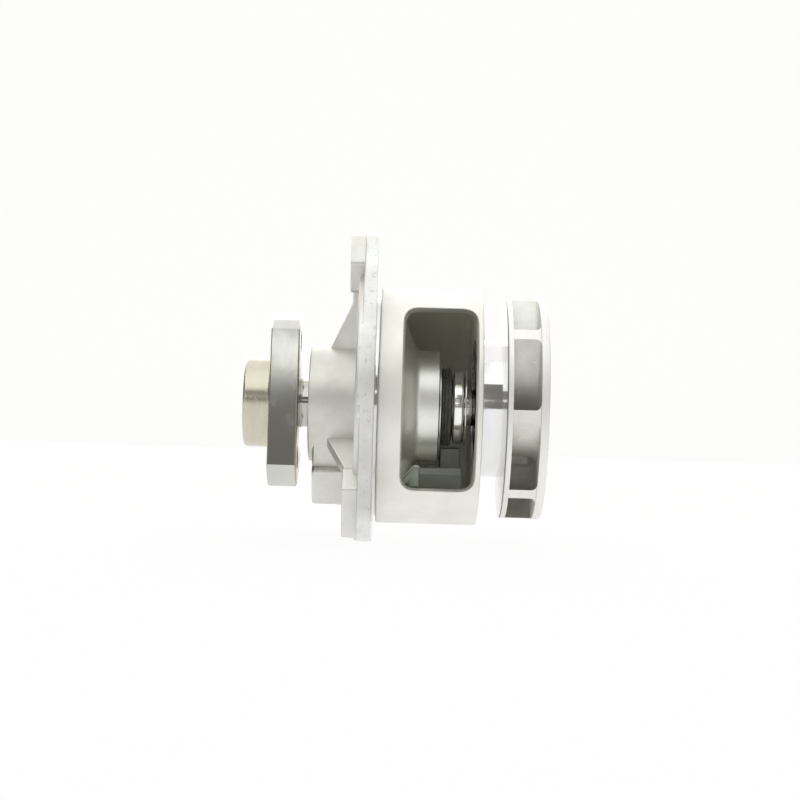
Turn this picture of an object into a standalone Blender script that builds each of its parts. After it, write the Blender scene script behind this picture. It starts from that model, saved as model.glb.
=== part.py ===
import math

import bmesh
import bpy
from mathutils import Matrix, Vector

# Engine water pump. The shaft lies along X, the impeller is at +X and +Z is up.
# X = 0 is the face of the flange that bolts to the engine. Lengths are in metres.

GAP = 0.0003            # left between pieces that touch or are pressed together
RUN_GAP = 0.0005        # left round pieces that turn

# shaft bearing, sized from the circle of its balls
BALL_R = 0.0026
BALL_COUNT = 7
BALL_PITCH_R = 0.0104
BALL_ROW_FRONT_X = -0.0160
BALL_ROW_BACK_X = -0.0023
RING_LAND = 0.0016
RING_WALL = 0.0030
RING_BORE_R = BALL_PITCH_R + RING_LAND
BEARING_R = RING_BORE_R + RING_WALL
BEARING_FRONT_X = -0.0210
BEARING_BACK_X = 0.0027
BALL_CAGE_HALF = 0.0031
BALL_CAGE_IN_R = BALL_PITCH_R - 0.0015
BALL_CAGE_OUT_R = BALL_PITCH_R + 0.0010
LIP_SEAL_WIDTH = 0.0012
LIP_SEAL_INSET = 0.0003

# shaft
SHAFT_LAND = 0.0024
SHAFT_R = BALL_PITCH_R - SHAFT_LAND
NOSE_R = 0.006
SHAFT_FRONT_X = -0.0424
SHAFT_STEP_X = 0.0040
SHAFT_BACK_X = 0.0545
SHAFT_CHAMFER = 0.0006

# housing
BOSS_R = 0.0192
BOSS_FRONT_X = -0.0216
PLATE_THICK = 0.0044
RIM_THICK = 0.0060
RIM_WIDTH = 0.0032
FLANGE_R = 0.0455
EAR_CIRCLE_R = 0.0468
EAR_R = 0.0108
EAR_THICK = 0.0092
EAR_ANGLES = (79.0, -42.5, 199.0)
EAR_HOLE_R = 0.0043
PAD_INSET = 0.0004      # step from the flange edge in to an ear pad
RIB_THICK = 0.0040
RIB_FRONT_X = -0.0152
RIB_EAR_X = -0.0084
GROOVE_R = 0.0370
GROOVE_WIDTH = 0.0011
FACE_RELIEF = 0.0004      # undercut of the mounting face beside the groove
CAGE_R = 0.0390
CAGE_BACK_X = 0.0342
CAGE_WALL = 0.0040
END_WALL = 0.0017
CHAMBER_X = 0.0068
SEAL_BOSS_R = 0.0185
SEAL_BOSS_ROOT_X = 0.0137
SEAL_BOSS_BACK_X = 0.0207
SEAL_BORE_R = 0.0140
SEAL_BORE_X = 0.0080
LEAK_R = 0.0110
WINDOW_FRONT_X = 0.0087
WINDOW_BACK_X = 0.0324
WINDOW_TOP_Z = 0.0317
WINDOW_BOTTOM_Z = -0.0268
WINDOW_CORNER_R = 0.0052
WINDOW_DRAFT = 0.0022
LEDGE_TOP_Z = -0.0213
LEDGE_NEAR = 0.0150
LEDGE_FRONT_X = 0.0120
LEDGE_BACK_X = 0.0288
BLOCK_TOP_Z = -0.0136
BLOCK_NEAR = -0.0040
BLOCK_FRONT_X = 0.0220
WEB_TOP_Z = -0.0193
WEB_NEAR = 0.0235
WEB_BACK_X = 0.0151

# drain boss under the bearing
DRAIN_Z = -0.0252
DRAIN_FRONT_X = -0.0202
DRAIN_BORE_R = 0.0046
DRAIN_BORE_BACK_X = 0.0062
DRAIN_WEB_TURN = -36.0
DRAIN_WEB_HALF = 0.0089
DRAIN_WEB_Z = -0.0206
DRAIN_TOP_HALF = 0.0106
DRAIN_TOP_Z = -0.0222
DRAIN_SIDE_HALF = 0.0068
DRAIN_SIDE_Z = -0.0285
DRAIN_FOOT_HALF = 0.0020
DRAIN_FOOT_Z = -0.0334
WEEP_R = 0.0015
WEEP_X = -0.0130
PLUG_DEPTH = 0.0040
PLUG_WALL = 0.0008

# drive hub
HUB_FLAT_R = 0.0200
HUB_CORNER_R = 0.0298
HUB_TURN = 5.5          # degrees that the near flat is tipped up
HUB_FRONT_X = -0.0343
HUB_BACK_X = -0.0248
PILOT_R = 0.0150
PILOT_LENGTH = 0.0090
HUB_HOLE_R = 0.0034
HUB_HOLE_CIRCLE_R = 0.0222

# face seal
SEAL_SHEET = 0.0006
SEAL_LIP_R = 0.0156
SEAL_CUP_X = 0.0115
SEAL_CUP_BORE_R = 0.0075
BELLOWS_R = 0.0131
BELLOWS_SLEEVE_R = 0.0084
BELLOWS_BORE_R = 0.0072
BELLOWS_FRONT_X = 0.0218
BELLOWS_BACK_X = 0.0250
BELLOWS_RIBS = 3
BELLOWS_RIB_DEPTH = 0.0005
SPRING_R = 0.0107
SPRING_WIRE_R = 0.0007
SPRING_TURNS = 3.4
CARBON_R = 0.0110
CARBON_BORE_R = 0.0073
CARBON_BACK_X = 0.0253
CARBON_THICK = 0.0022
MATING_R = 0.0100
MATING_BORE_R = 0.0069
MATING_THICK = 0.0018
CUP_WALL = 0.0007
CUP_R = 0.0122
CUP_BACK_X = 0.0292
SLINGER_R = 0.0128
SLINGER_THICK = 0.0005

# impeller
IMPELLER_R = 0.0363
SHROUD_X = 0.0418
SHROUD_THICK = 0.0020
NECK_R = 0.0228
NECK_WALL = 0.0020
NECK_FRONT_X = 0.0331
BACK_DISC_X = 0.0526
BACK_DISC_THICK = 0.0027
IMPELLER_HUB_R = 0.0105
VANE_COUNT = 8
VANE_IN_R = 0.0185
VANE_THICK = 0.0029
VANE_TIP_ANGLE = -3.4   # degrees round from the near side to the nearest vane tip
VANE_SWEEP = -46.0      # degrees that a vane's root lies behind its tip

ROUND = 56
SMALL_ROUND = 28


def on_circle(radius, degrees):
    """Near and up offsets of a point on a circle about the shaft."""
    turn = math.radians(degrees)
    return radius * math.cos(turn), radius * math.sin(turn)


def paint(obj, color, metallic, roughness):
    material = bpy.data.materials.new(obj.name + "_material")
    material.use_nodes = True
    shader = material.node_tree.nodes["Principled BSDF"]
    shader.inputs["Base Color"].default_value = (*color, 1.0)
    shader.inputs["Metallic"].default_value = metallic
    shader.inputs["Roughness"].default_value = roughness
    obj.data.materials.clear()
    obj.data.materials.append(material)


def mesh_object(name, shape):
    bmesh.ops.recalc_face_normals(shape, faces=shape.faces)
    mesh = bpy.data.meshes.new(name)
    shape.to_mesh(mesh)
    shape.free()
    obj = bpy.data.objects.new(name, mesh)
    bpy.context.scene.collection.objects.link(obj)
    return obj


def turned(name, section, steps=SMALL_ROUND):
    """A body turned about X from a closed section of (x, radius) corners."""
    shape = bmesh.new()
    rings = []
    for x, radius in section:
        if radius < 1e-7:
            rings.append([shape.verts.new((x, 0.0, 0.0))])
            continue
        ring = []
        for step in range(steps):
            near, up = on_circle(radius, 360.0 * step / steps)
            ring.append(shape.verts.new((x, -near, up)))
        rings.append(ring)
    for index, ring in enumerate(rings):
        other = rings[(index + 1) % len(rings)]
        if len(ring) == 1 and len(other) == 1:
            continue
        for step in range(steps):
            after = (step + 1) % steps
            corners = [ring[step % len(ring)], ring[after % len(ring)]]
            corners += [other[after % len(other)], other[step % len(other)]]
            shape.faces.new(list(dict.fromkeys(corners)))
    return mesh_object(name, shape)


def lofted(name, sections):
    """A closed body through rings of points, flat at both ends."""
    shape = bmesh.new()
    rings = [[shape.verts.new(point) for point in section] for section in sections]
    count = len(rings[0])
    for ring, other in zip(rings, rings[1:]):
        for step in range(count):
            after = (step + 1) % count
            shape.faces.new((ring[step], ring[after], other[after], other[step]))
    shape.faces.new(rings[0])
    shape.faces.new(rings[-1])
    return mesh_object(name, shape)


def plate(name, outline, front_x, back_x):
    """A flat plate across the shaft from (near, up) corners."""
    front = [(front_x, -near, up) for near, up in outline]
    back = [(back_x, -near, up) for near, up in outline]
    return lofted(name, [front, back])


def wall(name, outline, far, near):
    """A wall along the shaft from (x, up) corners."""
    return lofted(name, [[(x, -far, up) for x, up in outline], [(x, -near, up) for x, up in outline]])


def rod(name, start, end, radius, steps=24):
    start = Vector(start)
    along = (Vector(end) - start).normalized()
    side = along.orthogonal().normalized()
    other = along.cross(side)
    sections = []
    for point in (start, Vector(end)):
        ring = []
        for step in range(steps):
            turn = 2.0 * math.pi * step / steps
            ring.append(point + radius * (math.cos(turn) * side + math.sin(turn) * other))
        sections.append(ring)
    return lofted(name, sections)


def combine(obj, other, operation):
    """Cuts the other body from this one, or joins it on."""
    modifier = obj.modifiers.new("combine", "BOOLEAN")
    modifier.operation = operation
    modifier.solver = "EXACT"
    modifier.object = other
    bpy.context.view_layer.update()
    graph = bpy.context.evaluated_depsgraph_get()
    mesh = bpy.data.meshes.new_from_object(obj.evaluated_get(graph))
    obj.modifiers.remove(modifier)
    obj.data = mesh
    bpy.data.objects.remove(other)


def cut(obj, *others):
    for other in others:
        combine(obj, other, "DIFFERENCE")


def join(obj, *others):
    for other in others:
        combine(obj, other, "UNION")


def hull(points):
    """The outer corners of (near, up) points, in order."""
    ordered = sorted(set(points))
    chains = []
    for run in (ordered, ordered[::-1]):
        chain = []
        for point in run:
            while len(chain) > 1:
                first, second = chain[-2], chain[-1]
                turn = (second[0] - first[0]) * (point[1] - first[1])
                turn -= (second[1] - first[1]) * (point[0] - first[0])
                if turn > 1e-12:
                    break
                chain.pop()
            chain.append(point)
        chains += chain[:-1]
    return chains


def ear_center(degrees):
    return on_circle(EAR_CIRCLE_R, degrees)


def flange_outline(inset=0.0):
    points = [on_circle(FLANGE_R - inset, 360.0 * step / 72) for step in range(72)]
    for degrees in EAR_ANGLES:
        near, up = ear_center(degrees)
        for step in range(30):
            along, rise = on_circle(EAR_R - inset, 12.0 * step)
            points.append((near + along, up + rise))
    return hull(points)


def ear_pad(number, degrees):
    """The raised pad that a flange bolt's head sits on, with flat sides."""
    near, up = ear_center(degrees)
    if number == 1:
        shape = ((0.93, 0.50), (0.28, 1.11), (-0.93, 0.74), (-1.02, -0.56), (-0.06, -0.98))
    else:
        shape = [on_circle(1.0, turn) for turn in range(-2, 358, 60)]
    corners = [(near + EAR_R * along, up + EAR_R * rise) for along, rise in shape]
    pad = plate("pad", corners, -EAR_THICK, -0.5 * PLATE_THICK)
    combine(pad, plate("edge", flange_outline(PAD_INSET), -2.0 * EAR_THICK, PLATE_THICK), "INTERSECT")
    return pad


def ear_rib(degrees):
    """The web from the bearing boss out to an ear."""
    ear_start = EAR_CIRCLE_R - 0.8 * EAR_R
    side = [
        (RIB_FRONT_X, BOSS_R - 0.002),
        (RIB_FRONT_X, BOSS_R),
        (RIB_EAR_X, ear_start - 0.004),
        (RIB_EAR_X, ear_start + 0.003),
        (-0.5 * PLATE_THICK, ear_start + 0.003),
        (-0.5 * PLATE_THICK, BOSS_R - 0.002),
    ]
    rib = wall("rib", side, -0.5 * RIB_THICK, 0.5 * RIB_THICK)
    rib.data.transform(Matrix.Rotation(math.radians(90.0 - degrees), 4, "X"))
    return rib


def drain_boss():
    """The flat-sided boss under the bearing boss, with a web where they meet."""
    back = -0.5 * PLATE_THICK
    half = [
        (DRAIN_WEB_HALF - 0.0015, DRAIN_WEB_Z + 0.0010),
        (DRAIN_TOP_HALF, DRAIN_TOP_Z),
        (DRAIN_SIDE_HALF, DRAIN_SIDE_Z),
        (DRAIN_FOOT_HALF, DRAIN_FOOT_Z),
    ]
    outline = half + [(-near, up) for near, up in reversed(half)]
    boss = plate("drain_boss", outline, DRAIN_FRONT_X, back)
    near, up = on_circle(0.98 * BOSS_R, DRAIN_WEB_TURN)
    web = [(near, up), (DRAIN_WEB_HALF, DRAIN_WEB_Z), (-DRAIN_WEB_HALF, DRAIN_WEB_Z), (-near, up)]
    join(boss, plate("drain_web", web, DRAIN_FRONT_X, back))
    return boss


def window_corners(inset):
    """The window's rounded outline as (x, up), drawn in by an inset."""
    front, back = WINDOW_FRONT_X + inset, WINDOW_BACK_X - inset
    bottom, top = WINDOW_BOTTOM_Z + inset, WINDOW_TOP_Z - inset
    radius = WINDOW_CORNER_R
    centers = ((back, top, 0), (front, top, 90), (front, bottom, 180), (back, bottom, 270))
    corners = []
    for x, up, start in centers:
        x += -radius if start in (0, 270) else radius
        up += -radius if start in (0, 90) else radius
        for step in range(6):
            along, rise = on_circle(radius, start + 18.0 * step)
            corners.append((x + along, up + rise))
    return corners


def window_cutter():
    outside, inside = CAGE_R + 0.003, 0.006
    sections = []
    for near, inset in ((outside, 0.0), (inside, WINDOW_DRAFT)):
        sections.append([(x, -near, up) for x, up in window_corners(inset)])
    cutter = lofted("window", sections)
    keep = CAGE_R - CAGE_WALL - 0.0004
    cut(cutter, turned("core", [(-0.01, 0.0), (-0.01, keep), (0.06, keep), (0.06, 0.0)], ROUND))
    return cutter


def housing_outside():
    """The turned outside of the casting, still solid."""
    soft = 0.0006
    return turned("pump_housing", [
        (BOSS_FRONT_X, 0.0),
        (BOSS_FRONT_X, BOSS_R - soft),
        (BOSS_FRONT_X + soft, BOSS_R),
        (-PLATE_THICK - 0.0012, BOSS_R),
        (-PLATE_THICK, BOSS_R + 0.0012),
        (-PLATE_THICK, FLANGE_R - RIM_WIDTH),
        (-RIM_THICK, FLANGE_R - RIM_WIDTH + 0.0004),
        (-RIM_THICK, FLANGE_R - 0.0008),
        (-RIM_THICK + 0.0008, FLANGE_R - 0.0002),
        (0.0, FLANGE_R - 0.0002),
        (0.0, CAGE_R + GAP),
        (-FACE_RELIEF, CAGE_R + GAP),
        (-FACE_RELIEF, GROOVE_R),
        (GROOVE_WIDTH, GROOVE_R),
        (GROOVE_WIDTH, CAGE_R - soft),
        (GROOVE_WIDTH + soft, CAGE_R),
        (CAGE_BACK_X - soft, CAGE_R),
        (CAGE_BACK_X, CAGE_R - soft),
        (CAGE_BACK_X, 0.0),
    ], ROUND)


def housing_core():
    """The bores for the bearing, leak chamber and face seal."""
    past = 0.001
    return turned("core", [
        (BOSS_FRONT_X - past, 0.0),
        (BOSS_FRONT_X - past, BEARING_R),
        (BEARING_BACK_X + GAP, BEARING_R),
        (BEARING_BACK_X + GAP, LEAK_R),
        (SEAL_BORE_X, LEAK_R),
        (SEAL_BORE_X, SEAL_BORE_R),
        (SEAL_BOSS_BACK_X + past, SEAL_BORE_R),
        (SEAL_BOSS_BACK_X + past, 0.0),
    ], ROUND)


def housing_chamber():
    """The inlet chamber round the seal boss, open to the impeller's neck."""
    inner = CAGE_R - CAGE_WALL
    return turned("chamber", [
        (CAGE_BACK_X + 0.001, 0.0),
        (CAGE_BACK_X + 0.001, NECK_R + RUN_GAP),
        (CAGE_BACK_X - END_WALL, NECK_R + RUN_GAP),
        (CAGE_BACK_X - END_WALL, inner),
        (CHAMBER_X, inner),
        (SEAL_BOSS_ROOT_X - 0.0016, SEAL_BOSS_R + 0.0026),
        (SEAL_BOSS_ROOT_X, SEAL_BOSS_R),
        (SEAL_BOSS_BACK_X, SEAL_BOSS_R),
        (SEAL_BOSS_BACK_X, 0.0),
    ], ROUND)


def low_step(name, top, near_edge, front_x, back_x):
    """A level step cast on the bottom of the chamber, from its far wall to a near edge."""
    low = CAGE_R - 0.5 * CAGE_WALL
    reach = math.sqrt(low * low - top * top)
    corners = []
    for step in range(13):
        near = -reach + (reach + near_edge) * step / 12
        corners.append((near, -math.sqrt(low * low - near * near)))
    corners += [(near_edge, top), (-reach + 0.001, top)]
    return plate(name, corners, front_x, back_x)


def chamber_ledge():
    """The cast floor low in the chamber, a block behind it and a web at its flange end."""
    ledge = low_step("ledge", LEDGE_TOP_Z, LEDGE_NEAR, LEDGE_FRONT_X, LEDGE_BACK_X)
    join(ledge, low_step("block", BLOCK_TOP_Z, BLOCK_NEAR, BLOCK_FRONT_X, LEDGE_BACK_X - 0.0001))
    low = CAGE_R - 0.5 * CAGE_WALL
    foot = -math.sqrt(low * low - WEB_NEAR * WEB_NEAR)
    web = [(CHAMBER_X - 0.001, foot), (WEB_BACK_X, foot), (WEB_BACK_X, WEB_TOP_Z)]
    web += [(WEB_BACK_X - 0.0020, WEB_TOP_Z), (CHAMBER_X + 0.0030, 0.6 * WEB_TOP_Z + 0.4 * foot)]
    join(ledge, wall("web", web, 0.5 * LEDGE_NEAR, WEB_NEAR))
    return ledge


def pump_housing():
    body = housing_outside()
    flange = plate("flange", flange_outline(), -PLATE_THICK, 0.0)
    seat_r, seat_x = 0.5 * (CAGE_R + GAP + FLANGE_R), -0.5 * PLATE_THICK
    seat = [(seat_x, 0.0), (seat_x, seat_r), (PLATE_THICK, seat_r), (PLATE_THICK, 0.0)]
    cut(flange, turned("seat", seat, ROUND))
    join(body, flange)
    for number, degrees in enumerate(EAR_ANGLES):
        join(body, ear_pad(number, degrees), ear_rib(degrees))
    join(body, drain_boss())
    cut(body, housing_core(), housing_chamber())
    cut(body, window_cutter())
    join(body, chamber_ledge())
    for degrees in EAR_ANGLES:
        near, up = ear_center(degrees)
        cut(body, rod("bolt", (-0.02, -near, up), (0.01, -near, up), EAR_HOLE_R))
    drain_start = (DRAIN_FRONT_X - 0.001, 0, DRAIN_Z)
    cut(body, rod("drain", drain_start, (DRAIN_BORE_BACK_X, 0, DRAIN_Z), DRAIN_BORE_R))
    leak_x = 0.5 * (BEARING_BACK_X + GAP + SEAL_BORE_X)
    cut(body, rod("leak", (leak_x, 0, -0.5 * LEAK_R), (leak_x, 0, DRAIN_Z), WEEP_R, 12))
    cut(body, rod("weep", (WEEP_X, 0, DRAIN_Z), (WEEP_X, 0, 1.1 * DRAIN_FOOT_Z), WEEP_R, 12))
    paint(body, (0.62, 0.62, 0.60), 1.0, 0.38)


def drain_plug():
    outer = DRAIN_BORE_R - GAP
    inner = outer - PLUG_WALL
    front = DRAIN_FRONT_X + 0.0005
    body = turned("drain_plug", [
        (front, 0.0),
        (front, outer),
        (front + PLUG_DEPTH, outer),
        (front + PLUG_DEPTH, inner),
        (front + PLUG_WALL, inner),
        (front + PLUG_WALL, 0.0),
    ], 24)
    body.data.transform(Matrix.Translation((0.0, 0.0, DRAIN_Z)))
    paint(body, (0.55, 0.54, 0.50), 1.0, 0.35)


def track(row_x, edge, outward):
    """Corners of a ball track cut into a ring or the shaft, from front to back."""
    corners = []
    reach = BALL_R + GAP
    half = math.acos(min(1.0, abs(edge - BALL_PITCH_R) / reach))
    for step in range(5):
        turn = half * (step / 2.0 - 1.0)
        depth = reach * math.cos(turn)
        radius = BALL_PITCH_R + depth if outward else BALL_PITCH_R - depth
        corners.append((row_x + reach * math.sin(turn), radius))
    return corners


def bearing_outer_ring():
    outer = BEARING_R - GAP
    section = [(BEARING_FRONT_X, outer), (BEARING_FRONT_X, RING_BORE_R)]
    section += track(BALL_ROW_FRONT_X, RING_BORE_R, True)
    section += track(BALL_ROW_BACK_X, RING_BORE_R, True)
    section += [(BEARING_BACK_X, RING_BORE_R), (BEARING_BACK_X, outer)]
    body = turned("bearing_outer_ring", section)
    paint(body, (0.50, 0.50, 0.50), 1.0, 0.25)


def bearing_seal(name, front_x):
    back_x = front_x + LIP_SEAL_WIDTH
    lip = SHAFT_R + GAP
    body = turned(name, [
        (front_x, RING_BORE_R - GAP),
        (front_x, lip + 0.0012),
        (front_x + 0.4 * LIP_SEAL_WIDTH, lip),
        (back_x, lip + 0.0003),
        (back_x, RING_BORE_R - GAP),
    ])
    paint(body, (0.02, 0.02, 0.02), 0.0, 0.55)


def ball_row(name, row_x):
    """A ball cage with its balls."""
    cage = turned("ball_cage_" + name, [
        (row_x - BALL_CAGE_HALF, BALL_CAGE_IN_R),
        (row_x - BALL_CAGE_HALF, BALL_CAGE_OUT_R),
        (row_x + BALL_CAGE_HALF, BALL_CAGE_OUT_R),
        (row_x + BALL_CAGE_HALF, BALL_CAGE_IN_R),
    ])
    for number in range(BALL_COUNT):
        degrees = 360.0 * number / BALL_COUNT
        near, up = on_circle(BALL_CAGE_IN_R - 0.002, degrees)
        far, high = on_circle(BALL_CAGE_OUT_R + 0.002, degrees)
        cut(cage, rod("pocket", (row_x, -near, up), (row_x, -far, high), BALL_R + GAP, 16))
        shape = bmesh.new()
        bmesh.ops.create_uvsphere(shape, u_segments=10, v_segments=6, radius=BALL_R)
        near, up = on_circle(BALL_PITCH_R, degrees)
        bmesh.ops.translate(shape, verts=shape.verts, vec=(row_x, -near, up))
        ball = mesh_object("ball_" + name + "_" + str(number + 1), shape)
        paint(ball, (0.72, 0.72, 0.72), 1.0, 0.08)
    paint(cage, (0.30, 0.24, 0.16), 0.0, 0.5)


def pump_shaft():
    soft = SHAFT_CHAMFER
    section = [
        (SHAFT_FRONT_X, 0.0),
        (SHAFT_FRONT_X, SHAFT_R - soft),
        (SHAFT_FRONT_X + soft, SHAFT_R),
    ]
    section += track(BALL_ROW_FRONT_X, SHAFT_R, False)
    section += track(BALL_ROW_BACK_X, SHAFT_R, False)
    section += [
        (SHAFT_STEP_X - soft, SHAFT_R),
        (SHAFT_STEP_X, SHAFT_R - soft),
        (SHAFT_STEP_X, NOSE_R),
        (SHAFT_BACK_X - soft, NOSE_R),
        (SHAFT_BACK_X, NOSE_R - soft),
        (SHAFT_BACK_X, 0.0),
    ]
    body = turned("pump_shaft", section)
    paint(body, (0.70, 0.70, 0.70), 1.0, 0.15)


def drive_hub():
    half = 60.0 - math.degrees(math.acos(HUB_FLAT_R / HUB_CORNER_R))
    outline = []
    for corner in (60.0, 180.0, 300.0):
        for step in range(7):
            outline.append(on_circle(HUB_CORNER_R, corner + HUB_TURN + half * (step / 3.0 - 1.0)))
    body = plate("drive_hub", outline, HUB_FRONT_X, HUB_BACK_X)
    front = HUB_FRONT_X - PILOT_LENGTH
    soft = 0.0010
    join(body, turned("pilot", [
        (front, 0.0),
        (front, PILOT_R - soft),
        (front + 0.3 * soft, PILOT_R - 0.3 * soft),
        (front + soft, PILOT_R),
        (HUB_FRONT_X + 0.001, PILOT_R),
        (HUB_FRONT_X + 0.001, 0.0),
    ], ROUND))
    bore = SHAFT_R + GAP
    cut(body, rod("bore", (front - 0.01, 0, 0), (HUB_BACK_X + 0.01, 0, 0), bore, SMALL_ROUND))
    for number in range(3):
        near, up = on_circle(HUB_HOLE_CIRCLE_R, 60.0 + 120.0 * number + HUB_TURN)
        cut(body, rod("screw", (HUB_FRONT_X - 0.005, -near, up), (HUB_BACK_X + 0.005, -near, up), HUB_HOLE_R))
    paint(body, (0.56, 0.53, 0.48), 1.0, 0.32)


def seal_cup():
    outer = SEAL_BORE_R - GAP
    back = SEAL_BOSS_BACK_X + GAP
    body = turned("seal_cup", [
        (SEAL_CUP_X, SEAL_CUP_BORE_R),
        (SEAL_CUP_X, outer),
        (back, outer),
        (back, SEAL_LIP_R),
        (back + SEAL_SHEET, SEAL_LIP_R),
        (back + SEAL_SHEET, outer - SEAL_SHEET),
        (SEAL_CUP_X + SEAL_SHEET, outer - SEAL_SHEET),
        (SEAL_CUP_X + SEAL_SHEET, SEAL_CUP_BORE_R),
    ])
    paint(body, (0.66, 0.66, 0.64), 1.0, 0.25)


def seal_bellows():
    """Rubber sleeve with a ribbed head that holds the carbon ring."""
    front = SEAL_CUP_X + SEAL_SHEET + GAP
    section = [(front, BELLOWS_BORE_R), (front, BELLOWS_SLEEVE_R)]
    section += [(BELLOWS_FRONT_X - 0.0010, BELLOWS_SLEEVE_R), (BELLOWS_FRONT_X, BELLOWS_R - 0.0008)]
    pitch = (BELLOWS_BACK_X - BELLOWS_FRONT_X) / BELLOWS_RIBS
    for rib in range(BELLOWS_RIBS):
        start = BELLOWS_FRONT_X + rib * pitch
        section.append((start + 0.20 * pitch, BELLOWS_R))
        section.append((start + 0.62 * pitch, BELLOWS_R))
        section.append((start + 0.86 * pitch, BELLOWS_R - BELLOWS_RIB_DEPTH))
    seat = CARBON_BACK_X - CARBON_THICK - GAP
    section += [(BELLOWS_BACK_X, BELLOWS_R - BELLOWS_RIB_DEPTH), (BELLOWS_BACK_X, CARBON_R + GAP)]
    section += [(seat, CARBON_R + GAP), (seat, BELLOWS_BORE_R)]
    body = turned("seal_bellows", section)
    paint(body, (0.02, 0.02, 0.02), 0.0, 0.5)


def seal_spring():
    """One unbroken wire wound round the bellows sleeve."""
    start = SEAL_CUP_X + SEAL_SHEET + GAP + SPRING_WIRE_R + 0.0002
    end = BELLOWS_FRONT_X - 0.0010 - GAP - SPRING_WIRE_R - 0.0002
    count = int(10 * SPRING_TURNS) + 1
    sections = []
    for step in range(count):
        share = step / (count - 1)
        turn = 2.0 * math.pi * SPRING_TURNS * share
        out = Vector((0.0, -math.cos(turn), math.sin(turn)))
        center = SPRING_R * out + Vector((start + (end - start) * share, 0.0, 0.0))
        ring = []
        for side in range(6):
            around = math.pi * side / 3.0
            side_way = math.cos(around) * out + math.sin(around) * Vector((1.0, 0.0, 0.0))
            ring.append(center + SPRING_WIRE_R * side_way)
        sections.append(ring)
    body = lofted("seal_spring", sections)
    pitch = (end - start) / SPRING_TURNS
    print("seal spring, least gap between turns in mm:", round(1000 * (pitch - 2 * SPRING_WIRE_R), 3))
    paint(body, (0.60, 0.60, 0.60), 1.0, 0.2)


def flat_ring(name, front_x, back_x, bore, radius, color, metallic, roughness):
    soft = min(0.0002, 0.2 * (back_x - front_x))
    body = turned(name, [
        (front_x, bore),
        (front_x, radius - soft),
        (front_x + soft, radius),
        (back_x - soft, radius),
        (back_x, radius - soft),
        (back_x, bore),
    ])
    paint(body, color, metallic, roughness)


def seal_carbon_ring():
    front = CARBON_BACK_X - CARBON_THICK
    flat_ring("seal_carbon_ring", front, CARBON_BACK_X, CARBON_BORE_R, CARBON_R, (0.05, 0.05, 0.05), 0.0, 0.4)


def seal_mating_ring():
    front = CARBON_BACK_X + GAP
    back = front + MATING_THICK
    flat_ring("seal_mating_ring", front, back, MATING_BORE_R, MATING_R, (0.8, 0.78, 0.74), 0.0, 0.25)


def seal_boot():
    bore = NOSE_R + GAP
    outer = CUP_R - CUP_WALL - GAP
    back = CUP_BACK_X - CUP_WALL - GAP
    seat = CARBON_BACK_X + 2 * GAP + MATING_THICK
    body = turned("seal_boot", [
        (CARBON_BACK_X + 2 * GAP, MATING_R + GAP),
        (CARBON_BACK_X + 2 * GAP, outer),
        (back, outer),
        (back, bore),
        (seat, bore),
        (seat, MATING_R + GAP),
    ])
    paint(body, (0.02, 0.02, 0.02), 0.0, 0.55)


def seal_mating_cup():
    bore = NOSE_R + GAP
    inner = CUP_R - CUP_WALL
    front = CARBON_BACK_X + 2 * GAP
    soft = 0.0003
    body = turned("seal_mating_cup", [
        (front, inner),
        (front, CUP_R - soft),
        (front + soft, CUP_R),
        (CUP_BACK_X - soft, CUP_R),
        (CUP_BACK_X, CUP_R - soft),
        (CUP_BACK_X, bore),
        (CUP_BACK_X - CUP_WALL, bore),
        (CUP_BACK_X - CUP_WALL, inner),
    ])
    paint(body, (0.72, 0.72, 0.70), 1.0, 0.12)


def seal_slinger():
    front = CUP_BACK_X + GAP
    back = front + SLINGER_THICK
    flat_ring("seal_slinger", front, back, NOSE_R + GAP, SLINGER_R, (0.7, 0.7, 0.68), 1.0, 0.2)


def vane(number):
    """One swept vane, from its tip at the rim in to its root."""
    tip = VANE_TIP_ANGLE + 360.0 * number / VANE_COUNT
    steps = 10
    inside, outside = [], []
    for step in range(steps + 1):
        share = step / steps
        radius = IMPELLER_R - 0.0001 + (VANE_IN_R - IMPELLER_R) * share
        degrees = tip + VANE_SWEEP * share
        half = math.degrees(0.5 * VANE_THICK * (1.0 - 0.35 * share) / radius)
        half /= math.cos(math.radians(45.0))
        inside.append(on_circle(radius, degrees - half))
        outside.append(on_circle(radius, degrees + half))
    front = SHROUD_X + SHROUD_THICK + GAP
    return plate("vane", inside + outside[::-1], front, BACK_DISC_X + 0.5 * BACK_DISC_THICK)


def impeller_body():
    bore = NOSE_R + GAP
    back = BACK_DISC_X + BACK_DISC_THICK
    hub_front = SHROUD_X + 0.25 * (BACK_DISC_X - SHROUD_X)
    body = turned("impeller_body", [
        (back, bore),
        (hub_front, bore),
        (hub_front, IMPELLER_HUB_R - 0.0015),
        (BACK_DISC_X - 0.0050, IMPELLER_HUB_R),
        (BACK_DISC_X - 0.0012, IMPELLER_HUB_R + 0.0020),
        (BACK_DISC_X, IMPELLER_HUB_R + 0.0060),
        (BACK_DISC_X, IMPELLER_R),
        (back - 0.0004, IMPELLER_R),
        (back, IMPELLER_R - 0.0004),
    ], ROUND)
    for number in range(VANE_COUNT):
        join(body, vane(number))
    paint(body, (0.55, 0.55, 0.53), 1.0, 0.35)


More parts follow.
